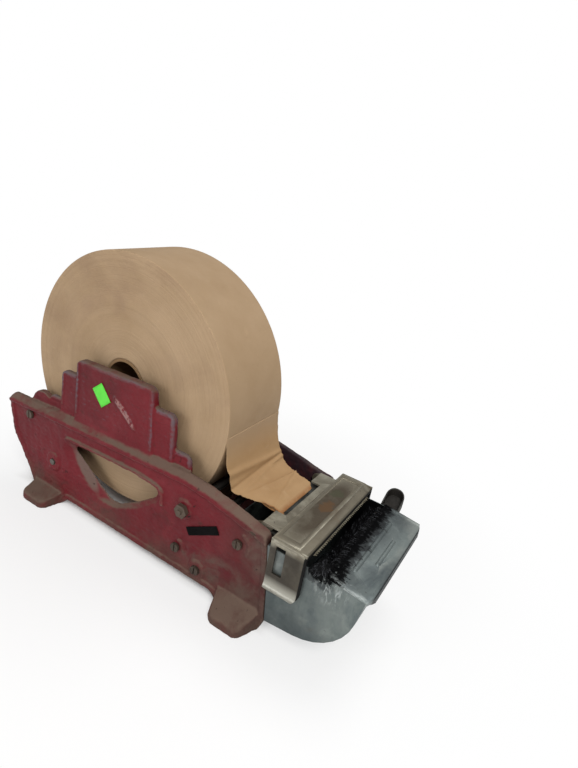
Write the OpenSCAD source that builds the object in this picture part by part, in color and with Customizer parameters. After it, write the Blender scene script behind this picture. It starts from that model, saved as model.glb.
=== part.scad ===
// Gummed paper tape dispenser: cast iron sides, tape roll on rollers, lift-up cover, water tank and brush.
// +X is the way the tape comes out, +Y is the far side, +Z is up. The table is at z = 0.

/* [Tape roll] */
// Width of the paper tape
tape_w = 76.2; // [60:0.1:78]
// Outer radius of the full roll
roll_r = 113.3; // [95:0.1:114]
// Outer radius of the paper core
core_r = 22.5; // [18:0.1:30]
// Wall of the paper core
core_wall = 2.5; // [1.5:0.1:4]
// Thickness that the loose tape end is drawn at
tail_t = 0.6; // [0.4:0.05:0.8]

/* [Cradle] */
// Radius of the two cradle rollers
roller_r = 12; // [9:0.1:13]
// Length of the cradle rollers
roller_l = 91; // [60:1:91]
// Distance of each roller axle from the roll centre, along X
roller_dx = 71.4; // [66:0.1:76]
// Height of the roller axles
roller_z = 42.7; // [38:0.1:46]
// Radius of the roller axles
axle_r = 3; // [2:0.1:4]

/* [Side frames] */
// Clear width between the two frames
frame_gap = 97; // [94:0.5:104]
// Thickness of the cast web
web_t = 6; // [5:0.1:8]
// How far the rails stand proud of the web
rail_proud = 3; // [2:0.1:4]
// Depth of the rail along the top edge
rail_h = 9; // [7:0.1:12]
// Back end of the frame
frame_back = -137; // [-145:0.5:-130]
// Height of the rail at its highest point
rail_top = 105; // [102:0.1:107]
// Rise of the rail and fin for each millimetre forward
rail_slope = 0.045; // [0.03:0.001:0.06]
// Height of the web's lower edge above the table
web_clear = 9; // [6:0.5:14]
// Overall width across the feet
foot_span = 150; // [140:1:160]
// Thickness of the feet at their edge
foot_t = 8; // [6:0.5:10]

/* [Stepped fin] */
// Height of the fin's middle panel at its centre
fin_top = 161; // [150:0.5:170]
// Height of the second step
step_two_top = 144.2; // [135:0.5:148]
// Height of the lowest step
step_three_top = 113.6; // [110:0.5:120]
// Half width of the middle panel at its top
fin_half_w = 45.5; // [42:0.5:48]
// Thickness of the fin
fin_t = 7; // [6:0.1:8]

/* [Ties and screws] */
// Radius of the rear tie rod
rear_tie_r = 5; // [4:0.1:5]
// Radius of the front tie rod
front_tie_r = 3.4; // [3.2:0.1:3.6]
// Radius of the lower and base tie rods
tie_r = 4; // [3.4:0.1:4.5]
// Radius of the screw shanks
screw_r = 2.2; // [1.8:0.1:2.4]
// Radius of the screw heads
head_r = 4.2; // [3.6:0.1:4.8]
// Height of the screw heads
head_h = 2.6; // [2:0.1:3.5]

/* [Cover] */
// Back edge of the cover plate
cover_back = 178; // [176:0.1:182]
// Length of the cover plate from back to front
cover_l = 30; // [28:0.1:30.4]
// Height of the cover's top face
cover_z = 95.2; // [94.5:0.1:97]
// Sheet thickness of the cover and guide
sheet_t = 1.5; // [1:0.1:1.8]
// Height of the cover's hinge axis
hinge_z = 87; // [86:0.1:87.5]
// Radius of the hinge pins
pin_r = 2.4; // [1.8:0.1:2.5]
// Depth of the cover's side flanges, down to the curl
flange_h = 40; // [36:0.5:42]
// Radius of the curl along the finger flaps
curl_r = 5; // [4:0.1:6]
// Width of the slot in each flange
slot_w = 8; // [5:0.1:10]
// Height of the slot in each flange
slot_h = 25; // [12:0.5:27]
// Distance between two teeth of the tear blade
tooth_pitch = 2.6; // [2:0.1:4]
// Length of the teeth
tooth_l = 2.2; // [1.5:0.1:2.4]

/* [Tank and brush] */
// Width across the tank's front cheeks
tank_w = 115.2; // [112:0.1:116]
// Height of the tank's underside
tank_z = 15.8; // [14:0.1:18]
// Wall of the tank's sheet metal
tank_t = 1.2; // [0.8:0.1:1.6]
// Radius of the tank's lower front corner
tank_corner_r = 50; // [40:0.5:51]
// Back end of the tank
tank_back = 118.5; // [118:0.5:124]
// Front edge of the hood
hood_front = 258; // [256:0.5:264]
// Back edge of the hood, which is the front of the brush trench
hood_back = 223.4; // [222.5:0.1:226]
// Depth of the hood's bent-down front lip
lip_h = 4.5; // [3.5:0.1:7]
// Width of the brush's wooden back
brush_w = 9; // [8:0.1:9.2]
// Length of the brush
brush_l = 98; // [80:1:102]
// Free length of the bristles
bristle_l = 20; // [14:0.5:22]
// Number of bristle rows
bristle_rows = 8; // [6:1:8]
// Number of bristles in a row
row_bristles = 46; // [40:1:48]

/* [Hidden] */
$fn = 48;

// Clearances
seat = 0.3;          // between bodies that rest on or pass each other
bore_fit = 0.05;     // radial clearance of a pin, axle or shank in its bore
tie_gap = 1.5;       // between the roll and the front tie rod
rear_tie_gap = 5.5;  // between the roll and the rear tie rod

// Planes across the machine, as distances from its middle
inner_y = frame_gap / 2;
web_y = inner_y + web_t;
rail_y = web_y + rail_proud;
foot_y = foot_span / 2;
fin_y = web_y - 2;

// The rail along the frame's top edge
rail_peak_x = 92;
rail_back_x = frame_back + 5;
rail_back_z = rail_top - rail_slope * (rail_peak_x - rail_back_x) - 1;

// The roll lies on its rollers, and the rear tie just under the rail, clear of the roll
cradle_reach = roll_r + roller_r + seat;
roll_z = roller_z + sqrt(cradle_reach * cradle_reach - roller_dx * roller_dx);
front_tie_at = [0, roll_z] + (roll_r + front_tie_r + tie_gap) * [cos(-38.5), sin(-38.5)];
rear_tie_z = rail_back_z - rail_h - head_r + seat;
rear_tie_at = [-sqrt(pow(roll_r + rear_tie_r + rear_tie_gap, 2) - pow(roll_z - rear_tie_z, 2)), rear_tie_z];
lower_tie_at = [87.6, 31];
base_tie_at = [tank_back - 2.3 - tie_r, tank_z + 6.3];
runner_front_at = [152, tank_z + 8.5];
bed_at = [147.6, 68.3];
runner_x = [base_tie_at[0] - 8, 174];
runner_h = 16;
runner_w = 13;

// Frame outline, forward from the top of the back end
frame_outline = [
    [frame_back, rail_back_z - 4, 3], [rail_back_x, rail_back_z, 2],
    [rail_peak_x, rail_top, 30], [112, rail_top - 2, 20], [140, rail_top - 7, 30],
    [172, rail_top - 14.5, 4], [178, 52, 0], [182, 14, 6], [178, 0, 0], [137, 0, 3],
    [128, web_clear, 6], [-50, web_clear, 6], [-59, 0, 3], [-98, 0, 0], [-107, 18, 8],
    [-119, 36, 10], [frame_back + 5, 54, 20]];
border_w = 5;

// Stepped fin, as half widths about its middle
fin_x = 2.5;
fin_base_z = 88;
fin_flare = 3;
step_two_half = fin_half_w + 22;
step_three_half = fin_half_w + 40.5;

// D window
window_lip = [[-52, 76, 4], [36, 80.5, 12], [66, 78, 9], [67, 66, 9], [46, 47.5, 30], [12, 30.5, 20],
    [-14, 28.5, 14], [-48, 46, 24], [-59, 64, 6]];
window_hole = [[-42, 70, 3], [36, 76.5, 8], [57, 75, 7], [58.5, 65, 7], [38, 49.5, 20], [14, 34.5, 14],
    [3, 35, 12], [-10.5, 42, 14], [-31, 57, 20], [-46, 66.5, 2]];

// Cover and guide
cover_front = cover_back + cover_l;
cover_half = tank_w / 2 + 1 + sheet_t;
guide_z = cover_z - 2 * sheet_t;
guide_back = 162;
guide_bend = 171;
guide_half = inner_y - 0.9;
hinge_x = 160;
throat_half = 29;
ear_r = 5;
lip_z = cover_z - 5.2;
slot_mid = cover_back + 9;
slot_top = cover_z - 5;
rivet_r = 1.5;
rivet_h = 2 * sheet_t - 0.6;

// Feed bed
bed_t = 1.5;
bed_z = 85;
bed_half = inner_y - 2.8;
bed_back = 158;
bed_front = 205;
spring_l = 23;
spring_bend = 10;
spring_half = 8;

// Tank
tank_half = tank_w / 2;
tray_half = inner_y - 2;
tray_top = 58;
tray_front = 190;
cheek_z = 84.4;
mouth_x = [170, 200];
mouth_z = [cheek_z - 12, cheek_z + 5];
cheek_drop = 3.3;
tank_front = hood_front - 2.6;
tank_outline = [
    [179.4, 52, 0], [174.4, cheek_z, 0], [hood_back, cheek_z, 0], [tank_front, cheek_z - cheek_drop, 0],
    [tank_front - 9.6, tank_z + 7.6, tank_corner_r], [206, tank_z + 2.4, 6], [183.4, tank_z, 0]];
function hood_z(x) = cheek_z - cheek_drop * (x - hood_back) / (tank_front - hood_back);
tank_inner = inset(rounded(tank_outline), tank_t);
function tank_floor(x) = lookup(x, [for (p = tank_inner) if (p[1] < tank_z + 15) p]);
hood_hem = 6;

// Scoop on the far cheek: its floor and its rim rise outwards
scoop_out = 17;
scoop_x = [219.4, 236];
scoop_floor = [76.5, 87];
scoop_rim = [cheek_z + 1, 95.5];
scoop_hole = [(scoop_x[0] + scoop_x[1]) / 2, scoop_floor[0] + 3.7];

// Brush
brush_x = hood_back - 2 - brush_w;
floor_z = tank_z + 2.4 + tank_t;
back_h = 12;
bristle_z = 66;
slice_t = 2;
holder_t = 1.2;

// The middle of the part's length goes to x = 0
front_x = hood_front + tank_t;
mid_x = (frame_back + front_x) / 2;

paint = [0.47, 0.18, 0.2];
plated = [0.55, 0.53, 0.47];
galvanised = [0.5, 0.54, 0.53];
kraft = [0.66, 0.54, 0.42];
steel = [0.42, 0.4, 0.38];
wood = [0.5, 0.36, 0.22];

// Helpers: outlines with rounded corners, given as [x, z, corner radius]
function flat(p) = [p[0], p[1]];
function unit(v) = v / norm(v);
function wrapped(a) = a > 180 ? a - 360 : a < -180 ? a + 360 : a;
function arc(centre, r, from, turn, n) =
    [for (i = [0:n]) centre + r * [cos(from + turn * i / n), sin(from + turn * i / n)]];
function corner(a, b, c) =
    let (u = unit(flat(a) - flat(b)), v = unit(flat(c) - flat(b)), half = acos(u * v) / 2)
    let (mid = flat(b) + unit(u + v) * b[2] / sin(half))
    let (p = flat(b) + u * b[2] / tan(half) - mid, q = flat(b) + v * b[2] / tan(half) - mid)
    let (from = atan2(p[1], p[0]), turn = wrapped(atan2(q[1], q[0]) - from))
    b[2] == 0 ? [flat(b)] : arc(mid, b[2], from, turn, max(2, ceil(abs(turn) / 12)));
function rounded(pts) =
    let (n = len(pts))
    [for (i = [0:n - 1]) each corner(pts[(i + n - 1) % n], pts[i], pts[(i + 1) % n])];
// The same outline moved inwards by d, corner by corner
function inset_corner(a, b, c, d) =
    let (u = unit(b - a), v = unit(c - b), side = unit([-u[1] - v[1], u[0] + v[0]]))
    b - side * d / (side * [-u[1], u[0]]);
function inset(pts, d) =
    let (n = len(pts))
    [for (i = [0:n - 1]) inset_corner(pts[(i + n - 1) % n], pts[i], pts[(i + 1) % n], d)];

module placed() {
    translate([-mid_x, 0, 0]) children();
}

// An outline in X and Z, thick from y0 to y1
module slab(pts, y0, y1) {
    translate([0, y1, 0]) rotate([90, 0, 0]) linear_extrude(y1 - y0) polygon(pts);
}

// An outline in Y and Z, long from x0 to x1
module bar(pts, x0, x1) {
    translate([x0, 0, 0]) rotate([90, 0, 90]) linear_extrude(x1 - x0) polygon(pts);
}

// A round bar across the machine
module rod(at, r, y0, y1) {
    translate([at[0], y1, at[1]]) rotate([90, 0, 0]) cylinder(h = y1 - y0, r = r);
}

module box(x, y, z) {
    translate([x[0], y[0], z[0]]) cube([x[1] - x[0], y[1] - y[0], z[1] - z[0]]);
}

module both_sides() {
    children();
    mirror([0, 1, 0]) children();
}

// Side frame, drawn for the near side
module fin_step(half, top, base_half, depth, r) {
    lift = rail_slope;
    slab(rounded([[fin_x - base_half, fin_base_z, 0], [fin_x - half, top - lift * half, r],
        [fin_x + half, top + lift * half, r], [fin_x + base_half, fin_base_z, 0]]),
        -fin_y + depth, -fin_y + fin_t);
}

module fin() {
    fin_step(fin_half_w, fin_top, fin_half_w + fin_flare, 0, 8);
    fin_step(step_two_half, step_two_top, step_two_half + fin_flare, 1.8, 7);
    fin_step(step_three_half, step_three_top, step_three_half + fin_flare, 3.6, 7);
}

module foot(x0, x1, web_x0, web_x1, rise) {
    hull() {
        for (x = [x0 + 8, x1 - 8]) {
            translate([x, 8 - foot_y, 0]) cylinder(h = foot_t - 2, r = 8, $fn = 32);
            translate([x, 9.5 - foot_y, 0]) cylinder(h = foot_t, r = 8, $fn = 32);
        }
        box([web_x0, web_x1], [-web_y, -inner_y], [0, rise]);
    }
}

module raised_arc(at, r, from, turn) {
    slab(concat(arc(at, r, from, turn, 8), arc(at, r - 2.4, from + turn, -turn, 8)),
        -web_y - 1.4, -web_y + 1);
}

module side_frame() {
    outline = rounded(frame_outline);
    difference() {
        union() {
            // Web in a proud border, and the wider rail along the top edge
            difference() {
                slab(outline, -web_y - rail_proud / 2, -inner_y);
                slab(inset(outline, border_w), -web_y - rail_proud, -web_y);
            }
            difference() {
                slab(outline, -rail_y, -web_y + 1);
                translate([0, 0, -rail_h]) slab(outline, -rail_y - 1, -web_y + 2);
                box([frame_back - 1, rail_back_x + 6], [-rail_y - 1, -web_y + 2], [0, rail_back_z - rail_h]);
                box([168, 190], [-rail_y - 1, -web_y + 2], [0, rail_top - 14.5 - rail_h]);
                box([-120, 170], [-rail_y - 1, -web_y + 2], [-20, rail_back_z - rail_h - 8]);
            }
            fin();
            foot(139, 173, 135, 178, 19);
            foot(-96, -62, -98, -59, 12);
            // Bosses on the outside and sockets on the inside
            rod([-roller_dx, roller_z], 9, -web_y - 1.5, -web_y + 1);
            rod(front_tie_at, 9, -web_y - 2, -web_y + 1);
            rod(base_tie_at, 8, -web_y - 2, -web_y + 1);
            rod(bed_at, 7, -inner_y - 1, -bed_half);
            for (x = [-roller_dx, roller_dx]) rod([x, roller_z], 8, -inner_y - 1, -inner_y + 2.5);
            // Round side guide for the roll at the back
            rod([-95, rail_back_z - 1], 14.5, -inner_y - 1, -inner_y + 5);
            raised_arc(lower_tie_at, 10, 0, 80);
            raised_arc(bed_at, 12, -35, 110);
        }
        hull() {
            slab(rounded(window_lip), -web_y - 2, -web_y + 0.01);
            slab(rounded(window_hole), -inner_y - 1.5, -inner_y - 1.4);
        }
        slab(rounded(window_hole), -inner_y - 2, -inner_y + 1);
        for (at = [front_tie_at, rear_tie_at, lower_tie_at, base_tie_at, bed_at])
            rod(at, screw_r + bore_fit, -rail_y - 1, -inner_y + 4);
        rod(runner_front_at, screw_r + bore_fit, -inner_y - 3.6, -inner_y + 1);
        rod([-roller_dx, roller_z], axle_r + bore_fit, -rail_y - 1, -inner_y + 4);
        rod([roller_dx, roller_z], axle_r + bore_fit, -web_y + 2, -inner_y + 4);
        rod(rear_tie_at, rear_tie_r + bore_fit, -inner_y, -inner_y + 6);
        rod([hinge_x, hinge_z], pin_r + bore_fit, -rail_y - 1, -inner_y + 1);
    }
    window_ridge();
}

// Bead along the window's top edge and round its front end
module window_ridge() {
    upper = [[-56, 74, 0], [-52, 78.5, 3], [36, 83, 14], [69.5, 81, 11], [71, 64, 0], [67.5, 64, 0],
        [66.6, 78, 8.5], [36, 80.2, 12], [-53, 75.8, 0]];
    slab(rounded(upper), -web_y - 2.4, -web_y + 0.5);
}

module near_side_frame() {
    color(paint) placed() side_frame();
}

module far_side_frame() {
    color(paint) placed() mirror([0, 1, 0]) side_frame();
}

// Tie rods butt between the frames and are tapped for their screws
module tie_rod(at, r, half) {
    difference() {
        rod(at, r, -half, half);
        both_sides() rod(at, screw_r + bore_fit, half - 12, half + 1);
    }
}

module rear_tie_rod() {
    color(steel) placed() tie_rod(rear_tie_at, rear_tie_r, inner_y);
}

module front_tie_rod() {
    color(steel) placed() tie_rod(front_tie_at, front_tie_r, inner_y);
}

module lower_tie_rod() {
    color(steel) placed() tie_rod(lower_tie_at, tie_r, inner_y);
}

module base_tie_rod() {
    color(steel) placed() tie_rod(base_tie_at, tie_r, inner_y - sheet_t);
}

// Slotted screw from outside, its head against the face at y = -face
module screw(at, face, depth) {
    difference() {
        union() {
            rod(at, head_r, -face - head_h, -face);
            rod(at, screw_r, -face - 1, -face + depth);
        }
        box([at[0] - 0.6, at[0] + 0.6], [-face - head_h - 1, -face - head_h + 1.1],
            [at[1] - head_r, at[1] + head_r]);
    }
}

// The front tie is held by hexagon nuts on studs
module hex_nut(at, face) {
    translate([at[0], -face, at[1]]) rotate([90, 0, 0]) cylinder(h = 4.2, r = 6.4, $fn = 6);
    rod(at, screw_r, -face - 6, -face + web_t + 12);
}

module tie_screws() {
    color(steel) placed() both_sides() {
        screw(rear_tie_at, web_y, web_t + 9);
        screw(lower_tie_at, web_y, web_t + 9);
        screw(base_tie_at, web_y + 2, web_t + 2 + 9);
        hex_nut(front_tie_at, web_y + 2);
    }
}

// Axles are fixed in the frames; the rollers turn on them
module rear_axle() {
    color(steel) placed() rod([-roller_dx, roller_z], axle_r, -web_y - 2.5, web_y + 2.5);
}

module front_axle() {
    color(steel) placed() rod([roller_dx, roller_z], axle_r, -web_y + 2.2, web_y - 2.2);
}

module roller(x) {
    difference() {
        rod([x, roller_z], roller_r, -roller_l / 2, roller_l / 2);
        rod([x, roller_z], axle_r + bore_fit, -roller_l, roller_l);
    }
}

module rear_roller() {
    color(wood) placed() roller(-roller_dx);
}

module front_roller() {
    color(wood) placed() roller(roller_dx);
}

module tape_roll() {
    color(kraft) placed() difference() {
        rod([0, roll_z], roll_r, -tape_w / 2, tape_w / 2, $fn = 128);
        rod([0, roll_z], core_r + bore_fit, -tape_w, tape_w);
    }
}

module tape_core() {
    color(kraft) placed() difference() {
        rod([0, roll_z], core_r, -tape_w / 2, tape_w / 2);
        rod([0, roll_z], core_r - core_wall, -tape_w, tape_w);
    }
}

// The loose end hangs from the front of the roll, folds at a crease and runs towards the guide
tail_path = [[roll_r + seat + tail_t / 2, roll_z - 8], [roll_r + 1.8, roll_z - 21], [118.5, 111],
    [122.3, 103], [126.5, 97.2], [134, 94.4], [146, 94.4], [157, 94.3], [163, 93.2], [166.9, 91.4]];
tail_plan = [[110, -tape_w / 2], [127, -tape_w / 2], [151, -28.4], [168, -28.4], [168, 20], [162, 28],
    [150, 28.4], [127, tape_w / 2], [110, tape_w / 2]];

function offset_path(path, d) =
    let (n = len(path))
    [for (i = [0:n - 1])
        let (u = unit(path[min(n - 1, i + 1)] - path[max(0, i - 1)])) path[i] + d * [-u[1], u[0]]];
function ribbon(path, t) =
    let (back = offset_path(path, -t / 2), n = len(path))
    concat(offset_path(path, t / 2), [for (i = [0:n - 1]) back[n - 1 - i]]);

module tape_tail() {
    color(kraft) placed() intersection() {
        slab(ribbon(tail_path, tail_t), -tape_w / 2, tape_w / 2);
        translate([0, 0, 60]) linear_extrude(roll_z) polygon(tail_plan);
    }
}

// The bed carries the tape under the guide; its flanges are screwed to bosses on the frames
function bed_at_plus(x, z, r) = [bed_at[0] + x, bed_at[1] + z, r];
module feed_bed() {
    flange = rounded([[bed_back, bed_z + 0.5, 0], bed_at_plus(-7.6, 7.7, 5), bed_at_plus(-7.6, -6.3, 5),
        bed_at_plus(7.4, -6.3, 6), [bed_back + 18, bed_z - 6, 8], [bed_front - 9, bed_z + 0.5, 0]]);
    color(galvanised) placed() union() {
        box([bed_back, bed_front], [-bed_half, bed_half], [bed_z, bed_z + bed_t]);
        both_sides() difference() {
            slab(flange, -bed_half, -bed_half + bed_t);
            rod(bed_at, screw_r + bore_fit, -bed_half - 1, -bed_half + 3);
        }
    }
}

module bed_screws() {
    color(steel) placed() both_sides() {
        screw(bed_at, web_y, web_y - bed_half + bed_t);
        rod(bed_at, head_r, -bed_half + bed_t, -bed_half + bed_t + 3);
    }
}

// Angles on which the tank slides
module runner() {
    difference() {
        union() {
            box(runner_x, [-inner_y, -inner_y + sheet_t], [tank_z - 2, tank_z + runner_h]);
            box(runner_x, [-inner_y, -inner_y + runner_w], [tank_z - 2, tank_z - seat]);
        }
        for (at = [base_tie_at, runner_front_at]) rod(at, screw_r + bore_fit, -inner_y - 1, -inner_y + 4);
    }
}

module near_runner() {
    color(steel) placed() runner();
}

module far_runner() {
    color(steel) placed() mirror([0, 1, 0]) runner();
}

// Flush studs in blind holes of the frames
module runner_screws() {
    color(steel) placed() both_sides() rod(runner_front_at, screw_r, -inner_y - 3.5, -inner_y + sheet_t);
}

// The cover swings on two pins driven into the frames
module hinge_pins() {
    color(steel) placed() both_sides() rod([hinge_x, hinge_z], pin_r, -rail_y + 1, -guide_half + sheet_t);
}

module tape_guide() {
    ear = rounded([[hinge_x - 4, hinge_z + 3, 0], [guide_back, guide_z + sheet_t, 2],
        [guide_bend, guide_z + sheet_t, 0], [guide_bend, guide_z - 2, 3], [hinge_x + 3.5, hinge_z - 3, 0]]);
    color(plated) placed() difference() {
        union() {
            box([guide_bend, cover_back + 8], [-guide_half, guide_half], [guide_z, guide_z + sheet_t]);
            both_sides() {
                box([guide_back, guide_bend + 1], [-guide_half, -throat_half], [guide_z, guide_z + sheet_t]);
                slab(ear, -guide_half, -guide_half + sheet_t);
                rod([hinge_x, hinge_z], ear_r, -guide_half, -guide_half + sheet_t);
            }
        }
        both_sides() rod([hinge_x, hinge_z], pin_r + bore_fit, -guide_half - 1, -guide_half + 3);
        rivet_places() cylinder(h = 12, r = rivet_r + bore_fit, center = true);
    }
}

module rivet_places() {
    for (y = [-42, -18, 18, 42]) translate([cover_back + 4, y, guide_z]) children();
}

module cover_plate() {
    top = [[cover_back, cover_z - sheet_t], [cover_front - 8, cover_z - sheet_t],
        [cover_front - sheet_t, cover_z - 3.4], [cover_front - sheet_t, lip_z], [cover_front, lip_z],
        [cover_front, cover_z - 2.8], [cover_front - 1.4, cover_z - 1.4], [cover_front - 7.6, cover_z],
        [cover_back, cover_z]];
    curl_z = cover_z - flange_h;
    flange = concat([[sheet_t - cover_half, cover_z - 0.4], [-cover_half, cover_z - 0.4]],
        arc([-cover_half - curl_r, curl_z], curl_r, 0, -58, 8),
        arc([-cover_half - curl_r, curl_z], curl_r + sheet_t, -58, 58, 8));
    low = curl_z - curl_r - sheet_t;
    color(plated) placed() difference() {
        union() {
            slab(top, -cover_half, cover_half);
            both_sides() intersection() {
                bar(flange, cover_back, cover_front);
                slab(rounded([[cover_back, cover_z, 0], [cover_front, cover_z, 0], [cover_front, low, 10],
                    [cover_back, low, 4]]), -cover_half - curl_r, -inner_y);
            }
        }
        both_sides() box([slot_mid - slot_w / 2, slot_mid + slot_w / 2],
            [-cover_half - 1, -cover_half + sheet_t + 1], [slot_top - slot_h, slot_top]);
        rivet_places() cylinder(h = rivet_h + bore_fit, r = rivet_r + bore_fit);
    }
}

// Studs in blind holes of the cover, headed below the guide
module cover_rivets() {
    color(steel) placed() rivet_places() {
        cylinder(h = rivet_h, r = rivet_r);
        translate([0, 0, -1]) cylinder(h = 1, r = 2.8);
    }
}

module tear_blade() {
    blade_t = 0.8;
    count = floor((2 * inner_y + 4) / tooth_pitch);
    start = -count * tooth_pitch / 2;
    back = cover_front - sheet_t - blade_t;
    color(steel) placed() union() {
        box([back, back + blade_t], [start, -start], [lip_z - blade_t, lip_z + 1.4]);
        translate([0, 0, lip_z - blade_t]) linear_extrude(blade_t) polygon(concat([[back, start]],
            [for (i = [0:count - 1]) each [[cover_front, start + i * tooth_pitch],
                [cover_front + tooth_l, start + (i + 0.5) * tooth_pitch]]],
            [[cover_front, -start], [back, -start]]));
    }
}

// Thin leaf that keeps the cut end of the tape from slipping back
module check_spring() {
    end = cover_back + spring_l;
    color(steel) placed() slab(ribbon([[cover_back + 1, guide_z - 0.25],
        [cover_back + spring_bend, guide_z - 0.25], [end - 3, bed_z + bed_t + 0.7],
        [end, bed_z + bed_t + 1.6]], 0.5), -spring_half, spring_half);
}

// Tank: narrow tray between the frames, wide cheeks in front of them
module water_tank() {
    outline = rounded(tank_outline);
    color(galvanised) placed() difference() {
        union() {
            slab(outline, -tank_half, tank_half);
            box([tank_back, tray_front], [-tray_half, tray_half], [tank_z, tray_top]);
        }
        slab(tank_inner, tank_t - tank_half, tank_half - tank_t);
        box([tank_back + tank_t, mouth_x[1]], [tank_t - tray_half, tray_half - tank_t],
            [floor_z, mouth_z[1]]);
        // Open top, and the way in from the scoop
        box([tray_front, tank_front - 5 * tank_t], [tank_t - tank_half, tank_half - tank_t], mouth_z);
        box(mouth_x, [-tray_half, tray_half], [tray_top, mouth_z[1]]);
        rod(scoop_hole, 2.5, tank_half - 3, tank_half + 1);
    }
}

module tank_hood() {
    lip_top = hood_z(hood_front);
    hem_front = hood_back + tank_t;
    top = [[hood_back, cheek_z - hood_hem], [hem_front, cheek_z - hood_hem], [hem_front, hood_z(hem_front)],
        [hood_front - 0.4, hood_z(hood_front - 0.4)], [hood_front, lip_top - lip_h],
        [hood_front + tank_t, lip_top - lip_h], [hood_front + 0.9, lip_top + tank_t],
        [hood_back, cheek_z + tank_t]];
    color(galvanised) placed() union() {
        difference() {
            slab(top, -tank_half, tank_half);
            both_sides() box([hood_back - 1, hem_front], [-tank_half - 1, tank_t + 0.2 - tank_half],
                [0, cheek_z]);
            both_sides() box([tank_front - 2, hood_front], [-tank_half - 1, -tank_half], [0, cheek_z]);
        }
        // Two plain stiffening beads
        for (bead = [[hood_back + 13, 36, 5], [hood_back + 23.5, 17, 4]])
            translate([bead[0], 0, hood_z(bead[0]) + tank_t + 1.1 - bead[2] / 2])
                both_sides() {
                    rotate([-90, 0, 0]) cylinder(h = bead[1], r = bead[2] / 2);
                    translate([0, bead[1], 0]) sphere(r = bead[2] / 2);
                }
    }
}

// Scoop on the far cheek, for topping up the water
function scoop_plan(y0) = rounded([[scoop_x[0], y0, 0], [scoop_x[0], tank_half + scoop_out, 7],
    [scoop_x[1], tank_half + scoop_out, 8], [scoop_x[1], y0, 0]]);
function scoop_side(low, high, y0) = [[y0, low[0]], [tank_half + scoop_out, low[1]],
    [tank_half + scoop_out, high[1]], [y0, high[0]]];
module filler_scoop() {
    rise = 1.3 * tank_t;
    color(galvanised) placed() difference() {
        intersection() {
            linear_extrude(scoop_rim[1] + 1) polygon(scoop_plan(tank_half));
            bar(scoop_side(scoop_floor, scoop_rim, tank_half), scoop_x[0] - 1, scoop_x[1] + 1);
        }
        intersection() {
            linear_extrude(scoop_rim[1] + 9) polygon(inset(scoop_plan(tank_half - 5), tank_t));
            bar(scoop_side(scoop_floor + [rise, rise], scoop_rim + [8, 8], tank_half - 1),
                scoop_x[0], scoop_x[1]);
        }
    }
}

// Brush: a metal holder that stands on the tank's floor, a wooden back and the bristles
module brush_holder() {
    x0 = brush_x - holder_t;
    x1 = brush_x + brush_w + holder_t;
    half = brush_l / 2;
    base = bristle_z - slice_t - back_h;
    color(galvanised) placed() union() {
        box([x0, x1], [-half, half], [base - holder_t, base]);
        box([x0, brush_x], [-half, half], [base - holder_t, base + 9]);
        box([brush_x + brush_w, x1], [-half, half], [base - holder_t, base + 9]);
        both_sides() box([x0, x1], [-half - holder_t, -half], [tank_floor(x1) + seat, base + 9]);
    }
}

module brush_back() {
    color(wood) placed() box([brush_x, brush_x + brush_w], [-brush_l / 2, brush_l / 2],
        [bristle_z - slice_t - back_h, bristle_z - slice_t]);
}

// One row of bristles, as a comb; the tips wear unevenly
function worn(row, i) = 0.9 * abs(sin(37 * i + 71 * row));
module bristle_row(row) {
    pitch = (brush_l - 4) / row_bristles;
    bristle = pitch * 0.6;
    depth = 0.8;
    x = brush_x + (row + 0.5) * brush_w / bristle_rows - depth / 2;
    start = -row_bristles * pitch / 2;
    bar(concat([[start, bristle_z - 1]],
        [for (i = [0:row_bristles - 1])
            let (y = start + (i + 0.2) * pitch, top = bristle_z + bristle_l - worn(row, i))
            each [[y, bristle_z], [y, top], [y + bristle, top], [y + bristle, bristle_z]]],
        [[-start, bristle_z - 1]]), x, x + depth);
}

module brush_bristles() {
    color([0.08, 0.08, 0.08]) placed() union() {
        box([brush_x, brush_x + brush_w], [-brush_l / 2, brush_l / 2], [bristle_z - slice_t, bristle_z]);
        for (row = [0:bristle_rows - 1]) bristle_row(row);
    }
}

near_side_frame();
far_side_frame();
rear_tie_rod();
front_tie_rod();
lower_tie_rod();
base_tie_rod();
tie_screws();
rear_axle();
front_axle();
rear_roller();
front_roller();
tape_roll();
tape_core();
tape_tail();
feed_bed();
bed_screws();
near_runner();
far_runner();
runner_screws();
hinge_pins();
tape_guide();
cover_plate();
cover_rivets();
tear_blade();
check_spring();
water_tank();
tank_hood();
filler_scoop();
brush_holder();
brush_back();
brush_bristles();
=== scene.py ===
"""Looks of the gummed tape dispenser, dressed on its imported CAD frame."""

import math
import random

import bmesh
import bpy
import numpy as np
from mathutils import Matrix, Vector, noise


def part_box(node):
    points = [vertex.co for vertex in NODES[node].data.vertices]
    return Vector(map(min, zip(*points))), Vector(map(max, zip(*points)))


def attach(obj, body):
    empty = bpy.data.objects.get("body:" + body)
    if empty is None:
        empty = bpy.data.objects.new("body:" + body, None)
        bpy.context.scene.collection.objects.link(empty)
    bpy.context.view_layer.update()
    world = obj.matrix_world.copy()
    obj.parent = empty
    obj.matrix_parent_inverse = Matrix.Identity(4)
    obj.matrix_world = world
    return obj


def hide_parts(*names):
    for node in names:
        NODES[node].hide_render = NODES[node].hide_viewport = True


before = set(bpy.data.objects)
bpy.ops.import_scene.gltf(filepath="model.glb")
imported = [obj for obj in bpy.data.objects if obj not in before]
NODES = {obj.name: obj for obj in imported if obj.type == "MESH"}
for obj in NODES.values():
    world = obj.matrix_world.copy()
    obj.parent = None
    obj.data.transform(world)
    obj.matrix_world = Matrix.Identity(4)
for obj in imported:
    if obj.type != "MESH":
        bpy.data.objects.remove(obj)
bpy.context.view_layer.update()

# Millimetres with x = 0 at the roll's centre, as the source has them
MID_X = 61.1
ROLL_R = 113.3
ROLL_BORE = 22.6
ROLL_Z = 146.03
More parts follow.
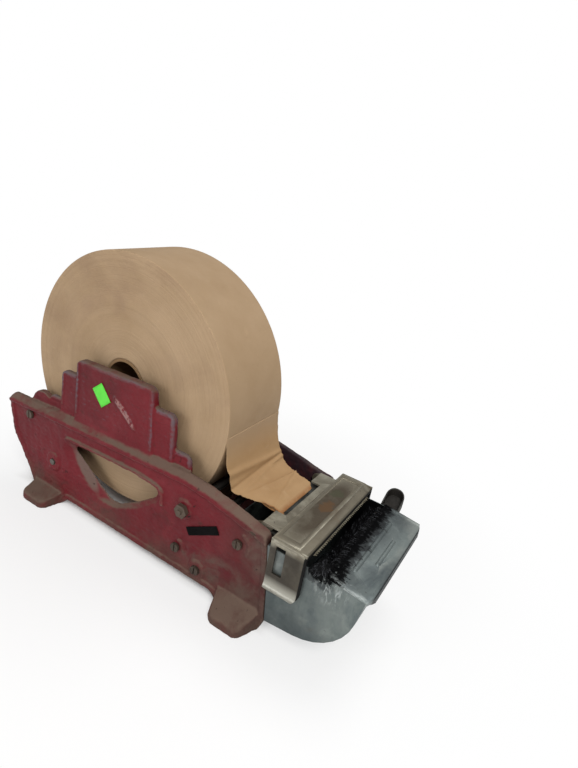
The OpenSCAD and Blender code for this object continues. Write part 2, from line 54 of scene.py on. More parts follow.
TAPE_HALF = 38.1
WEB_FACE = 54.9
FRAME_NEAR = -55
FIN_FACE = 52.9
FIN_X = 2.5
FIN_TILT = 0.045
FIN_STEPS = ((45.5, 161, 52.5), (67.5, 144.2, 50.7), (86, 113.6, 48.9))  # half width, top, face
BAR_X, BAR_Z, BAR_SLOPE = 17, 130, -39
WINDOW_EDGE, WINDOW_SLOPE = (-30, -WEB_FACE, 53), -43
RAIL_TOP = ((-132, 92, 112, 140, 172, 178), (93.9, 105, 103, 98, 90.5, 88))
RAIL_SLANT = ((-132, 100, 112, 140, 160, 172), (4.0, 3.4, 3.0, 3.5, 2.5, 1.0))
COVER_FRONT = 208.0
COVER_TOP = 95
HOOD_BACK = 223.4
HOOD_LIP = 256
TANK_NEAR = -57.6

# The loose end: its path along its middle, its edges by place along x, and its creases
TAIL_PATH = ((113.05, 140.0), (113.4, 135.5), (114.0, 130.0), (115.3, 123.0), (118.0, 113.0),
             (121.3, 104.4), (125.0, 98.6), (129.5, 95.6), (134.0, 94.5), (146.0, 94.4),
             (157.0, 94.3), (163.0, 93.2), (166.9, 91.7))
TAIL_NEAR = ((126, 151, 168), (-TAPE_HALF, -28.2, -28.2))
TAIL_FAR = ((126, 150, 162, 168), (TAPE_HALF, 28.2, 27.0, 20.0))
TAIL_FREE = 135  # height below which the paper is off the roll and can crease
CREASES = ((121.0, -1.5, 1.5, 1.1), (124.0, 1.0, -1.1, 1.0), (128.0, 3.5, 1.2, 1.2),
           (139.0, -7.0, 0.7, 0.9), (152.0, 9.0, 0.8, 0.8))  # place, slant, height, width
CORNER_X, CORNER_Y, CORNER_Z = 147, -28.6, 93.6

# Metres, as Blender has them
PAPER_SHEET = {"thickness": 0.00028, "offset": 0}
LABEL_SHEET = {"thickness": 0.00018, "offset": 0}
BRUSH_H = 0.0205
STRAND_L, STRAND_R = 0.0198, 0.00022
TUFT_R = 0.0007
TUFT_MARGIN_X, TUFT_MARGIN_Y = 0.0011, 0.003
FLOOR_Z = -0.0002
FLOOR_RINGS = (0.2, 0.4, 0.7, 1.2, 2.5, 6)

# The lens and sensor of the camera fitted to the photo
LENS, SENSOR = 24.47, 36


def metres(x, y, z):
    return Vector(((x - MID_X) / 1000, y / 1000, z / 1000))


# ---------------------------------------------------------------- node trees

class Graph:
    """An emptied node tree, with short calls for the nodes that come up again."""

    def __init__(self, owner):
        owner.use_nodes = True
        self.tree = owner.node_tree
        self.tree.nodes.clear()

    def add(self, kind, inputs=(), **settings):
        """A node whose inputs are each given a value, or a link where a socket is named."""
        node = self.tree.nodes.new(kind)
        for key, value in settings.items():
            setattr(node, key, value)
        for key, value in dict(inputs).items():
            if isinstance(value, bpy.types.NodeSocket):
                self.tree.links.new(value, node.inputs[key])
            else:
                node.inputs[key].default_value = value
        return node

    def math(self, operation, *values, clamp=True):
        node = self.add("ShaderNodeMath", enumerate(values), operation=operation, use_clamp=clamp)
        return node.outputs[0]

    def overlap(self, first, *others):
        """The product of masks: what they all cover."""
        for other in others:
            first = self.math("MULTIPLY", first, other)
        return first

    def remap(self, value, low, high, to_low=0.0, to_high=1.0, **settings):
        inputs = {"Value": value, "From Min": low, "From Max": high,
                  "To Min": to_low, "To Max": to_high}
        return self.add("ShaderNodeMapRange", inputs, clamp=True, **settings).outputs[0]

    def parts(self, vector):
        return self.add("ShaderNodeSeparateXYZ", {0: vector}).outputs

    def length(self, vector):
        return self.add("ShaderNodeVectorMath", {0: vector}, operation="LENGTH").outputs["Value"]

    def end(self, kind, share, under, over):
        """The tree's output, a mix of two shaders."""
        mixed = self.add("ShaderNodeMixShader",
                         {0: share, 1: under.outputs[0], 2: over.outputs[0]})
        self.add(kind, {"Surface": mixed.outputs[0]})


def linear(hex_colour):
    """A written sRGB colour as the linear values that shaders take."""
    values = [int(hex_colour[i:i + 2], 16) / 255 for i in (0, 2, 4)]
    return [v / 12.92 if v <= 0.04045 else ((v + 0.055) / 1.055) ** 2.4 for v in values] + [1.0]


class Shader(Graph):
    """A material built up in layers: a base ramp, then stains, wear and bump."""

    def __init__(self, name, metallic=0.0, roughness=(0.5, 0.6), specular=0.5):
        self.material = bpy.data.materials.new(name)
        super().__init__(self.material)
        self.place = self.add("ShaderNodeTexCoord").outputs["Object"]
        self.metallic = metallic
        self.shine = specular
        self.rough = self.remap(self.noise(90, detail=4), 0.3, 0.7, *roughness)
        self.colour = None
        self.height = None

    def geometry(self, name):
        return self.add("ShaderNodeNewGeometry").outputs[name]

    def noise(self, scale, detail=6, rough=0.6, distortion=0.0, stretch=None):
        place = self.place
        if stretch is not None:
            place = self.add("ShaderNodeMapping", {"Scale": stretch, "Vector": place}).outputs[0]
        inputs = {"Vector": place, "Scale": scale, "Detail": detail,
                  "Roughness": rough, "Distortion": distortion}
        return self.add("ShaderNodeTexNoise", inputs).outputs["Fac"]

    def mix(self, mask, under, over):
        inputs = {"Factor": mask, 6: under, 7: over}
        return self.add("ShaderNodeMix", inputs, data_type="RGBA").outputs[2]

    def blend(self, mask, under, over):
        inputs = {"Factor": mask, 2: under, 3: over}
        return self.add("ShaderNodeMix", inputs, data_type="FLOAT").outputs[0]

    def base(self, first, second, scale, stretch=None):
        mask = self.remap(self.noise(scale, 8, stretch=stretch), 0.35, 0.65)
        self.colour = self.mix(mask, linear(first), linear(second))

    def stain(self, colour, *masks, rough=None):
        """Colours what all the masks cover, and roughens it where asked."""
        mask = self.overlap(*masks)
        self.colour = self.mix(mask, self.colour, linear(colour))
        if rough is not None:
            self.rough = self.blend(mask, self.rough, rough)

    def soot(self, *masks):
        """Dead black grime that takes the shine off what it covers."""
        mask = self.overlap(*masks)
        self.stain("09090a", mask, rough=0.85)
        self.shine = self.blend(mask, self.shine, 0.04)

    def patches(self, scale, low, high, strength=1.0, detail=8, stretch=None):
        return self.remap(self.noise(scale, detail, 0.65, 0.4, stretch), low, high, 0.0, strength)

    def edges(self, low, high, strength, broken=45):
        """Convex edges, broken up by noise."""
        point = self.remap(self.geometry("Pointiness"), low, high)
        return self.overlap(point, self.patches(broken, 0.35, 0.6, strength))

    def hollows(self, low, high, strength):
        return self.remap(self.geometry("Pointiness"), low, high, strength, 0.0)

    def direction(self, index):
        """One component of the way the surface faces."""
        return self.parts(self.geometry("Normal"))[index]

    def facing(self, index, low, high, strength=1.0):
        return self.remap(self.direction(index), low, high, 0.0, strength)

    def axis(self, index):
        return self.parts(self.place)[index]

    def along(self, index, low, high):
        """A ramp along one axis, from low to high in the source's millimetres."""
        shift = MID_X if index == 0 else 0
        return self.remap(self.axis(index), (low - shift) / 1000, (high - shift) / 1000)

    def spot(self, centre, radii, low, high, slope=0.0):
        """A soft-edged ellipsoid in the source's millimetres, its length at a slope."""
        inputs = {"Location": metres(*centre), "Rotation": (0, -math.radians(slope), 0),
                  "Scale": [radius / 1000 for radius in radii], "Vector": self.place}
        turned = self.add("ShaderNodeMapping", inputs, vector_type="TEXTURE").outputs[0]
        return self.remap(self.length(turned), low, high, 1.0, 0.0)

    def ragged(self, field, scale, strength, stretch=None):
        """A field from 0 to 1 cut off along a torn, bristly edge."""
        torn = self.remap(self.noise(scale, 10, 0.75, 0.6, stretch), 0.3, 0.7)
        total = self.math("ADD", self.overlap(field, 0.6), self.overlap(torn, 0.4))
        return self.remap(total, 0.56, 0.64, 0.0, strength)

    def bump(self, value, distance, strength):
        inputs = {"Distance": distance, "Strength": strength, "Height": value}
        if self.height is not None:
            inputs["Normal"] = self.height
        self.height = self.add("ShaderNodeBump", inputs).outputs[0]

    def done(self):
        inputs = {"Base Color": self.colour, "Metallic": self.metallic, "Roughness": self.rough,
                  "Specular IOR Level": self.shine}
        if self.height is not None:
            inputs["Normal"] = self.height
        surface = self.add("ShaderNodeBsdfPrincipled", inputs)
        self.add("ShaderNodeOutputMaterial", {"Surface": surface.outputs[0]})
        return self.material


# ---------------------------------------------------------------- materials

def frame_paint():
    """Maroon enamel on cast iron: dusty tops, painted blue-grey fin edge highlights, brown grime.
    """
    s = Shader("frame_paint", roughness=(0.42, 0.6), specular=0.2)
    s.base("6c1a22", "561219", 9)
    s.stain("7d2b31", s.patches(24, 0.5, 0.72, 0.5))
    s.stain("421c1d", s.patches(13, 0.52, 0.7, 0.6), rough=0.65)
    s.stain("43302a", s.hollows(0.40, 0.485, 0.85), rough=0.8)
    s.stain("472522", s.patches(60, 0.58, 0.72, 0.75), rough=0.75)
    # Grime towards the front, on the front foot's web and low down
    s.stain("4b3630", s.along(0, 125, 176), s.patches(24, 0.36, 0.56, 0.9), rough=0.8)
    front = s.spot((176, FRAME_NEAR, 72), (26, 8, 30), 0.5, 1.1)
    s.stain("5d4a42", front, s.patches(42, 0.36, 0.52, 0.9), rough=0.8)
    lower = s.spot((140, FRAME_NEAR, 30), (60, 8, 16), 0.6, 1.1)
    s.stain("5d4a42", lower, s.patches(42, 0.42, 0.58, 0.8), rough=0.8)
    s.stain("54443a", s.along(2, 36, 6), s.patches(30, 0.34, 0.6, 0.9), rough=0.8)
    # Dust on what faces up, wear on edges
    s.stain("67554a", s.facing(2, 0.30, 0.72, 0.95), s.patches(40, 0.25, 0.5), rough=0.85)
    s.stain("6f5c50", s.edges(0.515, 0.56, 0.9), rough=0.7)
    # Painted shade: darker on the front of the far frame's inner face
    far_inner_shade = s.overlap(s.along(1, 40, 44), s.facing(1, 0.5, 0.2), s.along(0, 96, 112))
    s.stain("2f242a", far_inner_shade, s.patches(30, 0.1, 0.5, 0.95), rough=0.6)
    bar = s.spot((BAR_X, -53, BAR_Z), (17, 6, 3.2), 0.75, 1.1, BAR_SLOPE)
    s.stain("a37f7a", bar, s.patches(330, 0.44, 0.54, 0.7), rough=0.6)
    window = s.spot(WINDOW_EDGE, (29, 8, 8.5), 0.8, 1.02, WINDOW_SLOPE)
    s.stain("6a5850", window, s.patches(45, 0.2, 0.45, 0.92), rough=0.8)
    # Painted highlight: blue-grey along the fin's step edges, high on the fin
    s.stain("5f5a63", s.along(2, 106, 112), s.edges(0.508, 0.535, 0.8, 30), rough=0.5)
    s.stain("2b1a18", s.patches(170, 0.64, 0.70, 0.9), rough=0.8)
    s.bump(s.noise(160, 6), 0.0006, 0.7)
    s.bump(s.noise(700, 3), 0.00015, 0.5)
    return s.done()


def bare_metal(name, first, second, stain, metallic=0.75, rough=(0.35, 0.6), streak=None):
    """Dull steel with stains, darker in its hollows, and with grime in specks."""
    s = Shader(name, metallic, rough)
    s.base(first, second, 24, streak)
    s.stain(stain, s.patches(38, 0.52, 0.72, 0.8), rough=0.7)
    s.stain("2a2622", s.hollows(0.40, 0.48, 0.7), rough=0.8)
    s.stain("2a2622", s.patches(240, 0.64, 0.72, 0.6), rough=0.75)
    s.bump(s.noise(320, 5, stretch=streak), 0.0002, 0.5)
    return s.done()


def zinc(name, first, second):
    """Aged galvanising: soft blue-grey streaks, dull patches, pale scuffs."""
    s = Shader(name, 0.5, (0.36, 0.58))
    s.base(first, second, 11, (1.4, 0.8, 2.2))
    s.stain("4b5559", s.patches(17, 0.48, 0.64, 0.75, stretch=(2.5, 1, 0.8)))
    s.stain("8d948e", s.patches(44, 0.58, 0.76, 0.65), rough=0.5)
    s.stain("5d5443", s.patches(30, 0.6, 0.78, 0.6), rough=0.75)
    s.stain("a3a8a2", s.edges(0.52, 0.57, 0.8), rough=0.4)
    s.stain("262929", s.hollows(0.40, 0.48, 0.65), rough=0.8)
    s.stain("2c2b27", s.patches(330, 0.65, 0.72, 0.75), rough=0.8)
    s.bump(s.noise(26, 3), 0.0009, 0.35)
    s.bump(s.noise(420, 4), 0.00012, 0.5)
    return s


def tank_zinc():
    """The tank: streaked cheeks, black grime inside the trench and spilling over its near end."""
    s = zinc("tank_zinc", "66706d", "4a5456")
    s.stain("828b87", s.patches(34, 0.5, 0.7, 0.5, stretch=(2.6, 1, 0.5)), rough=0.45)
    s.stain("3a4244", s.along(0, 240, 205), s.patches(24, 0.3, 0.65, 0.7), rough=0.6)
    s.stain("394143", s.along(2, 40, 18), s.patches(20, 0.3, 0.65, 0.6), rough=0.6)
    between = s.remap(s.math("ABSOLUTE", s.axis(1)), 0.0570, 0.0565)
    inside = s.overlap(between, s.facing(0, 0.4, 0.1), s.facing(2, -0.4, -0.2))
    s.stain("2f3231", inside, s.patches(30, 0.2, 0.6, 0.8), rough=0.7)
    s.soot(inside, s.along(0, 182, 196), s.patches(30, 0.1, 0.3, 0.97))
    spill = (219, TANK_NEAR, 84)
    s.stain("2c2f31", s.ragged(s.spot(spill, (32, 14, 26), 0.1, 1.0), 70, 0.7), rough=0.6)
    s.soot(s.ragged(s.spot(spill, (24, 14, 17), 0.1, 1.0), 170, 0.95, (1.6, 1, 0.5)))
    # Painted glints: fine pale specks on the near end of the cheek
    glint_specks = s.spot((229, TANK_NEAR, 80), (16, 14, 9), 0.5, 1.0)
    s.stain("a3a9a7", glint_specks, s.patches(420, 0.6, 0.66, 0.8), rough=0.4)
    scratched = s.spot((230, TANK_NEAR, 74), (17, 14, 15), 0.3, 1.0)
    s.stain("a9afad", scratched, s.patches(190, 0.53, 0.62, 0.75, stretch=(1.6, 1, 0.45)),
            rough=0.4)
    return s.done()


def grimy_zinc():
    """Zinc blackened by years of wet glue: the bed under the tape and the scoop."""
    s = Shader("grimy_zinc", 0.2, (0.5, 0.75), 0.3)
    s.base("2b2824", "161412", 40)
    s.stain("4d4a44", s.patches(60, 0.56, 0.72, 0.7), rough=0.55)
    s.stain("70736f", s.edges(0.52, 0.58, 0.8), rough=0.45)
    s.bump(s.noise(260, 5), 0.0003, 0.6)
    return s.done()


def hood_zinc():
    """The hood: paler zinc, black with dried glue towards the brush and at its near end."""
    s = zinc("hood_zinc", "929b98", "747e7c")

    def near_back(start, end):
        """A ramp between two distances forward of the hood's back edge."""
        return s.along(0, HOOD_BACK + start, HOOD_BACK + end)

    s.stain("394043", s.along(1, -5, 50), near_back(34, 4), s.patches(30, 0.1, 0.5, 0.9),
            rough=0.5)
    s.stain("3a4144", near_back(32, 8), s.patches(26, 0.2, 0.65, 0.9), rough=0.5)
    s.stain("1a1c1e", s.ragged(near_back(25, 4), 60, 0.85, (1, 2.0, 1)), rough=0.55)
    s.soot(s.ragged(near_back(18, 1), 210, 0.97, (0.8, 1.5, 1)))
    corner = s.overlap(s.along(1, -16, -50), near_back(25, 7))
    s.soot(s.ragged(corner, 260, 0.95, (0.8, 1.4, 1)))
    # Painted glints: fine pale specks at the hood's near end
    glint_specks = s.spot((232, -52, 84), (14, 16, 8), 0.5, 1.0)
    s.stain("aab0ae", glint_specks, s.patches(420, 0.6, 0.66, 0.9), rough=0.4)
    s.stain("b4bab8", s.along(1, -50, -57), s.patches(150, 0.5, 0.6, 0.7, stretch=(0.5, 1, 1)),
            rough=0.4)
    # Darker along the front lip's outer face: painted shade, with grime on its edge
    s.stain("26292a", s.along(0, 257.6, 258.3), s.patches(60, 0.15, 0.4, 0.9), rough=0.6)
    return s.done()


def plated(name):
    """Dull plating on the guide and cover, yellowed, with scuffs and dark specks."""
    s = Shader(name, 0.6, (0.34, 0.55))
    s.base("7a7363", "655e50", 18)
    s.stain("65492f", s.patches(21, 0.56, 0.68, 0.6), rough=0.6)
    s.stain("9b9585", s.patches(70, 0.58, 0.72, 0.6), rough=0.42)
    s.stain("aaa594", s.edges(0.52, 0.57, 0.9), rough=0.35)
    s.stain("24211d", s.hollows(0.40, 0.48, 0.75), rough=0.8)
    s.stain("2d2923", s.patches(300, 0.63, 0.71, 0.75), rough=0.8)
    s.bump(s.noise(300, 5, stretch=(1, 6, 1)), 0.00012, 0.6)
    return s


def cover_plating():
    """The cover: a soaked brown and olive stain on top, dull dark flaps, a black front lip."""
    s = plated("cover_plating")
    soaked = s.spot((190, 0, COVER_TOP), (14, 50, 8), 0.7, 1.05)
    s.stain("4d4234", soaked, s.patches(26, 0.22, 0.5, 0.9), rough=0.42)
    for colour, x, y, reach in (("694b2d", 191, 4, 22), ("4d4d39", 189, 28, 20)):
        s.stain(colour, s.ragged(s.spot((x, y, COVER_TOP), (13, reach, 8), 0.0, 1.1), 60, 0.7),
                rough=0.5)
    s.stain("322d27", s.along(2, 92, 87), s.patches(14, 0.1, 0.55, 0.9), rough=0.42)
    # Painted highlight: paler along the curled lower edge of each flap
    s.stain("a5a398", s.along(2, 62, 55), s.patches(30, 0.25, 0.5, 0.95), rough=0.35)
    s.stain("121110", s.along(0, COVER_FRONT - 2.2, COVER_FRONT - 1.6), s.along(2, 93.2, 92.6),
            rough=0.8)
    return s.done()


def kraft(name, first, second, fibre=900):
    """Kraft paper or board: soft blotches and short dark fibres."""
    s = Shader(name, roughness=(0.62, 0.78), specular=0.25)
    s.base(first, second, 14)
    s.stain("866a4b", s.patches(9, 0.55, 0.8, 0.35))
    s.stain("c2a785", s.patches(60, 0.6, 0.8, 0.3))
    s.stain("6b5136", s.patches(fibre, 0.66, 0.74, 0.5, detail=3))
    s.bump(s.noise(fibre, 3), 0.00008, 0.6)
    s.bump(s.noise(22, 3), 0.0009, 0.25)
    return s


def tape_paper():
    """The loose end: browner than the roll, darker and ruddy where it's torn and folded."""
    s = kraft("kraft_tape", "ac8b64", "9e7d57")
    s.stain("a88d6e", s.along(2, 116, 138))
    s.stain("8b5c34", s.along(0, 162.5, 165.5), s.patches(120, 0.3, 0.5, 0.8))
    near_fold = s.overlap(s.along(0, 146, 150), s.along(1, -26.2, -27.6))
    s.stain("8b5c34", near_fold, s.patches(120, 0.3, 0.5, 0.8))
    return s.done()


def roll_paper():
    """Wound kraft: fine rings on the faces, plain paper round the tread."""
    s = kraft("kraft_roll", "ac9274", "a18768")
    inputs = {"Location": (MID_X / 1000, 0, -ROLL_Z / 1000), "Scale": (1, 0, 1), "Vector": s.place}
    radius = s.length(s.add("ShaderNodeMapping", inputs).outputs[0])
    line = {"Scale": 900, "Detail": 5, "Roughness": 0.75, "W": radius}
    lines = s.add("ShaderNodeTexNoise", line, noise_dimensions="1D").outputs["Fac"]
    band = {"Scale": 60, "W": radius}
    bands = s.add("ShaderNodeTexNoise", band, noise_dimensions="1D").outputs["Fac"]
    face = s.remap(s.math("ABSOLUTE", s.direction(1)), 0.6, 0.8)
    s.stain("8a684a", face, s.remap(lines, 0.5, 0.75, 0.0, 0.22))
    s.stain("b89c7c", face, s.remap(bands, 0.45, 0.7, 0.0, 0.35))
    s.stain("7d6350", face, s.patches(13, 0.5, 0.75, 0.45))
    s.bump(s.overlap(face, lines), 0.0004, 0.6)
    return s.done()


def turned_wood(name, first, second):
    """Wood with its grain along y."""
    grain = (3, 0.4, 3)
    s = Shader(name, roughness=(0.5, 0.7), specular=0.3)
    s.base(first, second, 30, grain)
    s.stain("3b2616", s.patches(120, 0.55, 0.7, 0.7, stretch=grain))
    s.bump(s.noise(260, 4, stretch=grain), 0.0002, 0.6)
    return s.done()


def bristle_black():
    """Black hair, with a painted grey highlight on a strand here and there."""
    s = Shader("bristle", roughness=(0.5, 0.7), specular=0.15)
    s.base("0e0e10", "070708", 400)
    # Painted highlight: a pale grey strand here and there
    s.stain("5a5c60", s.remap(s.geometry("Random Per Island"), 0.88, 0.92, 0.0, 0.8), rough=0.4)
    s.bump(s.noise(1500, 2), 0.0001, 0.5)
    return s.done()


def sticker(name, first, second, mark=None, gloss=0.5):
    """A blank label, with faint marks where asked."""
    s = Shader(name, roughness=(0.8 - gloss * 0.8, 0.95 - gloss * 0.8), specular=gloss)
    s.base(first, second, 60)
    if mark:
        s.stain(mark, s.patches(220, 0.62, 0.72, 0.5))
    s.bump(s.noise(150, 4), 0.0003, 0.5)
    return s.done()


# ---------------------------------------------------------------- mesh helpers

def shade_smooth(mesh, smooth=True):
    for polygon in mesh.polygons:
        polygon.use_smooth = smooth


def new_object(name, mesh, material, body, slot, *nodes, smooth=True):
    obj = bpy.data.objects.new(name, mesh)
    bpy.context.scene.collection.objects.link(obj)
    mesh.materials.clear()
    mesh.materials.append(material)
    shade_smooth(mesh, smooth)
    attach(obj, body)
    if nodes:
        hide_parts(*nodes)
    return obj


def mesh_of(name, points, faces):
    mesh = bpy.data.meshes.new(name)
    mesh.from_pydata([tuple(p) for p in points], [], faces)
    mesh.validate()
    work = bmesh.new()
    work.from_mesh(mesh)
    bmesh.ops.recalc_face_normals(work, faces=work.faces)
    work.to_mesh(mesh)
    work.free()
    return mesh


def grid_faces(rows, columns, start=0, ring_rows=False, ring_columns=False):
    """Quads between the points of a grid, closed into a ring either way where asked."""
    faces = []
    for i in range(rows if ring_rows else rows - 1):
        a, b = start + i * columns, start + (i + 1) % rows * columns
        for k in range(columns if ring_columns else columns - 1):
            m = (k + 1) % columns
            faces.append((a + k, b + k, b + m, a + m))
    return faces


def welded_copy(node):
    """The CAD node's mesh as a new mesh, its vertices merged and its flat areas clean."""
    mesh = NODES[node].data.copy()
    work = bmesh.new()
    work.from_mesh(mesh)
    bmesh.ops.remove_doubles(work, verts=work.verts, dist=1e-6)
    bmesh.ops.dissolve_limit(work, angle_limit=math.radians(1), verts=work.verts,
                             edges=work.edges)
    work.to_mesh(mesh)
    work.free()
    return mesh


def baked(obj, *modifiers):
    """Adds modifiers given as (type, settings) and bakes them into the mesh."""
    for kind, settings in modifiers:
        modifier = obj.modifiers.new(kind.lower(), kind)
        for key, value in settings.items():
            setattr(modifier, key, value)
    bpy.context.view_layer.update()
    evaluated = obj.evaluated_get(bpy.context.evaluated_depsgraph_get())
    result = bpy.data.meshes.new_from_object(evaluated)
    obj.modifiers.clear()
    obj.data = result
    return obj


def bevelled(node, material, body, slot, width, segments=3):
    """A CAD node copied with its edges rounded."""
    obj = new_object(node + "_dressed", welded_copy(node), material, body, slot, node)
    baked(obj, ("BEVEL", {"width": width / 1000, "segments": segments, "limit_method": "ANGLE",
                          "angle_limit": math.radians(32), "miter_outer": "MITER_ARC"}))
    shade_smooth(obj.data)
    return baked(obj, ("WEIGHTED_NORMAL", {"keep_sharp": True, "weight": 80}))


def moved(mesh, change):
    """Moves every vertex by change(points), both as arrays in the source's millimetres."""
    points = np.zeros(len(mesh.vertices) * 3)
    mesh.vertices.foreach_get("co", points)
    points = points.reshape(-1, 3) * 1000
    points[:, 0] += MID_X
    points = change(points)
    points[:, 0] -= MID_X
    mesh.vertices.foreach_set("co", (points / 1000).ravel())
    mesh.update()


def waves(points, seed, length):
    """Smooth pseudo-random field from -1 to 1, for gentle dents and ripples."""
    rng = np.random.default_rng(seed)
    count = 14
    total = np.zeros(len(points))
    for _ in range(count):
        direction = rng.normal(size=3)
        direction /= np.linalg.norm(direction)
        pitch = 2 * math.pi / (length * rng.uniform(0.6, 1.6))
        total += np.sin(points @ direction * pitch + rng.uniform(0, 7))
    return total / math.sqrt(count)


def smooth_step(value, low, high):
    t = np.clip((value - low) / (high - low), 0, 1)
    return t * t * (3 - 2 * t)


def rotated(x, z, degrees):
    c, s = math.cos(math.radians(degrees)), math.sin(math.radians(degrees))
    return x * c + z * s, z * c - x * s


# ---------------------------------------------------------------- cast frames

def worn_casting(points):
    """Slants the rail's worn top outwards and gives the skin a cast unevenness."""
    x, y, z = points.T
    out = np.abs(y)
    rail = np.interp(x, *RAIL_TOP)
    near_top = smooth_step(z, rail - 9, rail - 1) * (z < rail + 1.5)
    points[:, 2] -= np.interp(x, *RAIL_SLANT) * smooth_step(out, 51.5, 57.5) * near_top
    skin = 0.16 * waves(points, 5, 9) + 0.1 * waves(points, 8, 4)
    points[:, 1] += np.sign(y) * skin * (out > 47)
    points[:, 0] += 0.12 * waves(points, 11, 12)
    ground = points[:, 2] < 0.4
    points[ground, 2] = np.maximum(points[ground, 2], 0)
    return points


def rim(inward):
    """Profile of a raised rim, from the distance inwards from an edge."""
    return smooth_step(inward, 0.2, 1.4) * (1 - smooth_step(inward, 3.2, 4.8))


def fin_plate(points):
    """Raises a rim round each step of the fin, and a plain slanting bar on its middle panel."""
    x, y, z = points.T
    u = x - FIN_X
    out = np.abs(y)
    raised = np.zeros(len(points))
    inner_half = 0.0
    for half, top, face in FIN_STEPS:
        over = top + FIN_TILT * u - z
        side = half + 3 * over / (top - 88) - np.abs(u)
        on_face = (np.abs(u) > inner_half) & (out > face - 1) & (z > 106)
        raised += (on_face & (side > -1) & (over > -1)) * rim(np.minimum(side, over)) * 0.75
        inner_half = half + 2.5
    along, across = rotated(x - BAR_X, z - BAR_Z, BAR_SLOPE)
    bar = 1 - smooth_step(np.hypot(np.maximum(np.abs(along) - 14, 0), across), 2.2, 4.2)
    raised += bar * 0.8 * (out > 51.5)
    points[:, 1] += np.sign(y) * raised
    return points


def cast_frame(node, name):
    """A side frame remeshed and smoothed, with a casting's soft edges and uneven skin."""
    obj = new_object(name, welded_copy(node), FRAME_PAINT, "frame", "frame_paint", node)
    voxel = 1.05
    baked(obj, ("REMESH", {"mode": "VOXEL", "voxel_size": voxel / 1000, "adaptivity": 0.0}),
          ("SMOOTH", {"factor": 0.5, "iterations": 6}))
    moved(obj.data, worn_casting)
    moved(obj.data, fin_plate)
    shade_smooth(obj.data)


# ---------------------------------------------------------------- paper

def tape_roll():
    """Lathe of the roll, its faces slightly uneven where the layers have slipped."""
    random.seed(4)
    steps = 192
    near = []
    for r in np.linspace(ROLL_BORE, ROLL_R - 1.2, 60):
        uneven = 0.18 * math.sin(r * 1.7) + 0.2 * random.random()
        near.append((r, -TAPE_HALF + 0.22 + uneven + 0.7 * math.exp(-((r - 58) / 7) ** 2)))
    near += [(ROLL_R - 0.5, -TAPE_HALF + 0.15), (ROLL_R - 0.1, -TAPE_HALF + 0.6)]
    tread = enumerate(np.linspace(-TAPE_HALF + 2, TAPE_HALF - 2, 18))
    profile = near + [(ROLL_R - 0.05 * (i % 2), y) for i, y in tread]
    profile += [(r, -y) for r, y in reversed(near)]
    points = []
    for i in range(steps):
        a = 2 * math.pi * i / steps
        for r, y in profile:
            wobble = 0.12 * math.sin(3 * a + r * 0.2) * (abs(y) > 37)
            points.append(metres(r * math.cos(a), y * (1 - abs(wobble) / 60),
                                 ROLL_Z + r * math.sin(a)))
    faces = grid_faces(steps, len(profile), ring_rows=True, ring_columns=True)
    new_object("wound_roll", mesh_of("wound_roll", points, faces), ROLL_PAPER, "roll",
               "kraft_roll", "tape_roll")


def tail_lift(x, z, side):
    """Height of the loose end's creases and ripples above its path."""
    free = min(1.0, max(0.0, (TAIL_FREE - z) / 8))
    lift = 0.0
    for place, slant, height, width in CREASES:
        lift += height * math.exp(-(((x - place) + slant * side) / width) ** 2) * free
    ripple = 0.5 * math.sin(x * 0.21 + side * 2.1) + 0.35 * math.sin(x * 0.5 - side * 3.0)
    return lift + ripple * float(smooth_step(np.array(x), 120, 132)) * 0.8


def tape_tail():
    """The loose end: hangs off the roll, folds at slanting creases and lies forward."""
    length = [0.0]
    for a, b in zip(TAIL_PATH, TAIL_PATH[1:]):
        length.append(length[-1] + math.dist(a, b))
    rows, columns = 90, 72
    along = np.linspace(0, length[-1], rows)
    xs, zs = (np.interp(along, length, values) for values in zip(*TAIL_PATH))
    for _ in range(3):
        for values in (xs, zs):
            values[1:-1] = (values[:-2] + values[1:-1] + values[2:]) / 3
    points = []
    for x, z in zip(xs, zs):
        near, far = np.interp(x, *TAIL_NEAR), np.interp(x, *TAIL_FAR)
        for j in range(columns):
            t = j / (columns - 1)
            y = near + (far - near) * t
            lift = tail_lift(x, z, y / TAPE_HALF)
            if j in (0, columns - 1) and z < 137:
                y += 1.1 * noise.noise(Vector((x * 0.6 + z * 0.3, t * 3, 1.7)))
            points.append(metres(x + (0.8 * lift if z > 98 else 0), y, z + lift * 0.75))
    mesh = mesh_of("loose_end", points, grid_faces(rows, columns))
    obj = new_object("loose_end", mesh, TAPE_PAPER, "frame", "kraft_tape", "tape_tail")
    baked(obj, ("SOLIDIFY", PAPER_SHEET))


def folded_corner():
    """The loose end's near corner, creased down and under."""
    rows, columns = 8, 10
    points = []
    for i in range(rows):
        for j in range(columns):
            u, v = i / (rows - 1), j / (columns - 1)
            sag = 1.3 * u + 1.2 * (1 - v) * math.sin(math.pi * u) + 0.5 * v
            points.append(metres(CORNER_X + 21 * u, CORNER_Y + 7 * v * (1 - 0.6 * u),
                                 CORNER_Z - sag))
    mesh = mesh_of("folded_corner", points, grid_faces(rows, columns))
    obj = new_object("folded_corner", mesh, TAPE_PAPER, "frame", "kraft_tape")
    baked(obj, ("SOLIDIFY", PAPER_SHEET))


# ---------------------------------------------------------------- cover trim

